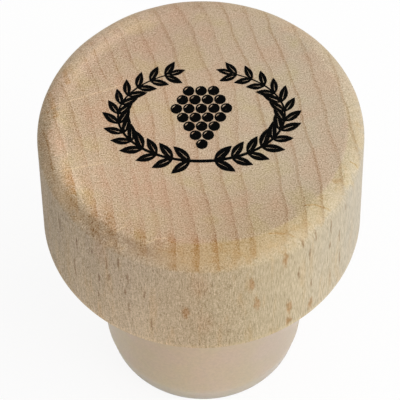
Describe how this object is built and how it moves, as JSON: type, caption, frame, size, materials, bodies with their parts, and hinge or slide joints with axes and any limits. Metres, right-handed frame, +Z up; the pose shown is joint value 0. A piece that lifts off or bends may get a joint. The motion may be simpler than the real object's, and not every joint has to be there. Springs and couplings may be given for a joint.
{
  "type": "wooden bottle stopper",
  "caption": "Bottle stopper: a turned beech head with a rounded crown, glued on a smooth cylindrical shank of soft synthetic cork.",
  "frame": {"origin": "centre of the shank's flat foot, on the turning axis", "axes": "+Z up along the turning axis, from the foot to the crown; +X and +Y are free directions across it"},
  "size_m": [0.031, 0.031, 0.0355],
  "materials": {
    "beech": "fine-sanded, unvarnished, end grain on the crown",
    "synthetic_cork": "smooth satin moulded elastomer"
  },
  "bodies": {
    "root": {"head": "beech", "shank": "synthetic_cork"}
  },
  "joints": []
}
